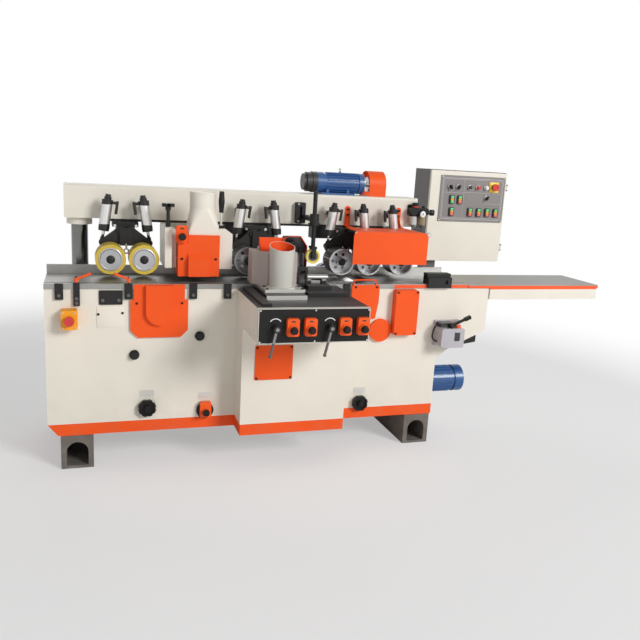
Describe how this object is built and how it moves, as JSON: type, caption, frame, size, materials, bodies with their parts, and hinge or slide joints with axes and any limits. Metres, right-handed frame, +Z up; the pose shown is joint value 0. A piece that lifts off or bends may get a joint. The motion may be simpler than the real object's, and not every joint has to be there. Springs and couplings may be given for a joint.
{
  "type": "four_sided_moulder",
  "caption": "Four sided moulder with a lifting feed beam, sprung feed rollers, cutterheads, dust hoods, infeed table and electric cabinet.",
  "frame": {"origin": "on the floor, in the middle of the four anchor holes in the two feet", "axes": "+X along the table towards the infeed end, -Y towards the operator, +Z up"},
  "size_m": [2.958, 1.319, 1.481],
  "materials": {
    "ivory_paint": "semi-gloss machine paint",
    "orange_paint": "semi-gloss safety orange",
    "blue_paint": "semi-gloss motor blue",
    "grey_paint": "satin grey",
    "dark_paint": "satin dark grey",
    "cast_grey": "painted casting",
    "black_iron": "blackened iron",
    "ground_steel": "ground",
    "column_steel": "ground and oiled",
    "bright_steel": "machined",
    "cylinder_aluminium": "anodised",
    "black_plastic": "moulded",
    "orange_plastic": "moulded",
    "yellow_plastic": "moulded",
    "red_plastic": "moulded",
    "panel_plastic": "laminate",
    "yellow_rubber": "cast polyurethane"
  },
  "bodies": {
    "base": {"machine_feet": "cast_grey", "base_sill": "orange_paint", "base_cabinet": "ivory_paint", "front_covers": "orange_paint", "control_box": "grey_paint", "control_panel": "black_plastic", "position_counters": "orange_plastic", "table_clamps": "black_iron", "work_table": "ground_steel", "guide_fence": "ground_steel", "guide_columns": "column_steel", "base_motors": "blue_paint", "electric_cabinet": "dark_paint", "stop_box": "yellow_plastic", "lube_pump": "grey_paint"},
    "beam": {"feed_beam": "ivory_paint", "hanger_rail": "black_iron", "air_cylinders": "cylinder_aluminium", "feed_motor": "blue_paint", "beam_guards": "orange_paint", "air_service_unit": "black_plastic", "hold_down_stand": "black_iron"},
    "arm_1": {"pressure_arm_1": "black_iron"},
    "arm_2": {"pressure_arm_2": "black_iron"},
    "arm_3": {"pressure_arm_3": "black_iron"},
    "arm_4": {"pressure_arm_4": "black_iron"},
    "arm_5": {"pressure_arm_5": "black_iron"},
    "arm_6": {"pressure_arm_6": "black_iron"},
    "arm_7": {"pressure_arm_7": "black_iron"},
    "roller_1": {"feed_roller_1": "yellow_rubber"},
    "roller_2": {"feed_roller_2": "yellow_rubber"},
    "roller_3": {"feed_roller_3": "bright_steel"},
    "roller_4": {"feed_roller_4": "bright_steel"},
    "roller_5": {"feed_roller_5": "bright_steel"},
    "roller_6": {"feed_roller_6": "bright_steel"},
    "roller_7": {"feed_roller_7": "bright_steel"},
    "top_head": {"top_carriage": "ivory_paint", "top_hood": "ivory_paint", "top_hood_cover": "orange_paint", "top_motor": "blue_paint"},
    "top_cutter": {"top_cutterhead": "bright_steel"},
    "top_lever": {"top_lock_lever": "black_plastic"},
    "side_head": {"side_slide": "ground_steel", "side_hood": "grey_paint"},
    "side_cutter": {"side_cutterhead": "bright_steel"},
    "fence_cutter": {"fence_cutterhead": "bright_steel"},
    "bottom_cutter": {"bottom_cutterhead": "bright_steel"},
    "infeed": {"infeed_table": "ground_steel"},
    "door": {"cabinet_door": "ivory_paint", "switch_panel": "panel_plastic"},
    "main_stop": {"main_stop_button": "red_plastic"},
    "side_stop": {"side_stop_button": "red_plastic"},
    "lock_left": {"lock_lever_left": "bright_steel"},
    "lock_right": {"lock_lever_right": "bright_steel"},
    "clamp_left": {"clamp_lever_left": "orange_plastic"},
    "clamp_right": {"clamp_lever_right": "orange_plastic"},
    "press": {"press_wheel": "yellow_rubber"},
    "pump_handle": {"pump_lever": "black_plastic"},
    "wheel_left": {"handwheel_left": "black_plastic"},
    "wheel_right": {"handwheel_right": "black_plastic"}
  },
  "joints": [
    {"name": "beam_lift", "type": "slide", "parent": "base", "child": "beam", "axis": [0, 0, 1], "range_m": [-0.015, 0.1]},
    {"name": "arm_swing_1", "type": "hinge", "parent": "beam", "child": "arm_1", "pos_m": [-0.667, -0.07, 1.108], "axis": [0, 1, 0], "range_deg": [0, 5]},
    {"name": "arm_swing_2", "type": "hinge", "parent": "beam", "child": "arm_2", "pos_m": [-0.619, -0.07, 1.108], "axis": [0, -1, 0], "range_deg": [0, 5]},
    {"name": "arm_swing_3", "type": "hinge", "parent": "beam", "child": "arm_3", "pos_m": [-0.0125, -0.07, 1.108], "axis": [0, 1, 0], "range_deg": [0, 5]},
    {"name": "arm_swing_4", "type": "hinge", "parent": "beam", "child": "arm_4", "pos_m": [0.0355, -0.07, 1.108], "axis": [0, -1, 0], "range_deg": [0, 5]},
    {"name": "arm_swing_5", "type": "hinge", "parent": "beam", "child": "arm_5", "pos_m": [0.4845, -0.07, 1.108], "axis": [0, 1, 0], "range_deg": [0, 5]},
    {"name": "arm_swing_6", "type": "hinge", "parent": "beam", "child": "arm_6", "pos_m": [0.5325, -0.07, 1.108], "axis": [0, -1, 0], "range_deg": [0, 5]},
    {"name": "arm_swing_7", "type": "hinge", "parent": "beam", "child": "arm_7", "pos_m": [0.7165, -0.07, 1.108], "axis": [0, -1, 0], "range_deg": [0, 5]},
    {"name": "roller_spin_1", "type": "hinge", "parent": "arm_1", "child": "roller_1", "pos_m": [-0.7195, -0.164, 0.985], "axis": [0, 1, 0], "continuous": true},
    {"name": "roller_spin_2", "type": "hinge", "parent": "arm_2", "child": "roller_2", "pos_m": [-0.5665, -0.164, 0.985], "axis": [0, 1, 0], "continuous": true},
    {"name": "roller_spin_3", "type": "hinge", "parent": "arm_3", "child": "roller_3", "pos_m": [-0.065, -0.164, 0.985], "axis": [0, 1, 0], "continuous": true},
    {"name": "roller_spin_4", "type": "hinge", "parent": "arm_4", "child": "roller_4", "pos_m": [0.088, -0.164, 0.985], "axis": [0, 1, 0], "continuous": true},
    {"name": "roller_spin_5", "type": "hinge", "parent": "arm_5", "child": "roller_5", "pos_m": [0.432, -0.164, 0.985], "axis": [0, 1, 0], "continuous": true},
    {"name": "roller_spin_6", "type": "hinge", "parent": "arm_6", "child": "roller_6", "pos_m": [0.585, -0.164, 0.985], "axis": [0, 1, 0], "continuous": true},
    {"name": "roller_spin_7", "type": "hinge", "parent": "arm_7", "child": "roller_7", "pos_m": [0.769, -0.164, 0.985], "axis": [0, 1, 0], "continuous": true},
    {"name": "top_head_lift", "type": "slide", "parent": "base", "child": "top_head", "axis": [0, 0, 1], "range_m": [-0.01, 0.045]},
    {"name": "top_cutter_spin", "type": "hinge", "parent": "top_head", "child": "top_cutter", "pos_m": [-0.318, -0.21, 0.9775], "axis": [0, 1, 0], "continuous": true},
    {"name": "top_lever_tilt", "type": "hinge", "parent": "top_head", "child": "top_lever", "pos_m": [-0.207, -0.24, 1.155], "axis": [1, 0, 0], "range_deg": [0, 60]},
    {"name": "side_head_slide", "type": "slide", "parent": "base", "child": "side_head", "axis": [0, 1, 0], "range_m": [-0.06, 0]},
    {"name": "side_cutter_spin", "type": "hinge", "parent": "side_head", "child": "side_cutter", "pos_m": [0.04, -0.37, 0.95], "axis": [0, 0, 1], "continuous": true},
    {"name": "fence_cutter_spin", "type": "hinge", "parent": "base", "child": "fence_cutter", "pos_m": [0.23, 0.002, 0.95], "axis": [0, 0, 1], "continuous": true},
    {"name": "bottom_cutter_spin", "type": "hinge", "parent": "base", "child": "bottom_cutter", "pos_m": [0.5085, -0.17, 0.8305], "axis": [0, 1, 0], "continuous": true},
    {"name": "infeed_lift", "type": "slide", "parent": "base", "child": "infeed", "axis": [0, 0, 1], "range_m": [0, 0.005]},
    {"name": "door_hinge", "type": "hinge", "parent": "base", "child": "door", "pos_m": [1.662, 0.248, 1.2], "axis": [0, 0, 1], "range_deg": [0, 105]},
    {"name": "main_stop_press", "type": "slide", "parent": "door", "child": "main_stop", "axis": [0, 1, 0], "range_m": [0, 0.005], "stiffness_N_per_m": 600},
    {"name": "side_stop_press", "type": "slide", "parent": "base", "child": "side_stop", "axis": [0, 1, 0], "range_m": [0, 0.005], "stiffness_N_per_m": 600},
    {"name": "lock_left_turn", "type": "hinge", "parent": "base", "child": "lock_left", "pos_m": [-0.065, -0.83, 0.785], "axis": [0, 1, 0], "range_deg": [-40, 35]},
    {"name": "lock_right_turn", "type": "hinge", "parent": "base", "child": "lock_right", "pos_m": [0.18, -0.83, 0.785], "axis": [0, 1, 0], "range_deg": [-40, 35]},
    {"name": "clamp_left_turn", "type": "hinge", "parent": "base", "child": "clamp_left", "pos_m": [-0.872, -0.3595, 0.912], "axis": [0, 0, 1], "range_deg": [-90, 0]},
    {"name": "clamp_right_turn", "type": "hinge", "parent": "base", "child": "clamp_right", "pos_m": [-0.647, -0.3595, 0.912], "axis": [0, 0, 1], "range_deg": [0, 90]},
    {"name": "press_wheel_spin", "type": "hinge", "parent": "beam", "child": "press", "pos_m": [0.28, -0.19, 1.009], "axis": [0, 1, 0], "continuous": true},
    {"name": "pump_lever_tilt", "type": "hinge", "parent": "base", "child": "pump_handle", "pos_m": [0.997, -0.423, 0.684], "axis": [0, -1, 0], "range_deg": [0, 60]},
    {"name": "wheel_left_turn", "type": "hinge", "parent": "base", "child": "wheel_left", "pos_m": [-0.563, -0.365, 0.293], "axis": [0, 1, 0], "continuous": true},
    {"name": "wheel_right_turn", "type": "hinge", "parent": "base", "child": "wheel_right", "pos_m": [0.529, -0.365, 0.258], "axis": [0, 1, 0], "continuous": true}
  ],
  "couplings": [
    {"joint": "roller_spin_2", "follows": "roller_spin_1", "ratio": 1},
    {"joint": "roller_spin_3", "follows": "roller_spin_1", "ratio": 1},
    {"joint": "roller_spin_4", "follows": "roller_spin_1", "ratio": 1},
    {"joint": "roller_spin_5", "follows": "roller_spin_1", "ratio": 1},
    {"joint": "roller_spin_6", "follows": "roller_spin_1", "ratio": 1},
    {"joint": "roller_spin_7", "follows": "roller_spin_1", "ratio": 1}
  ]
}
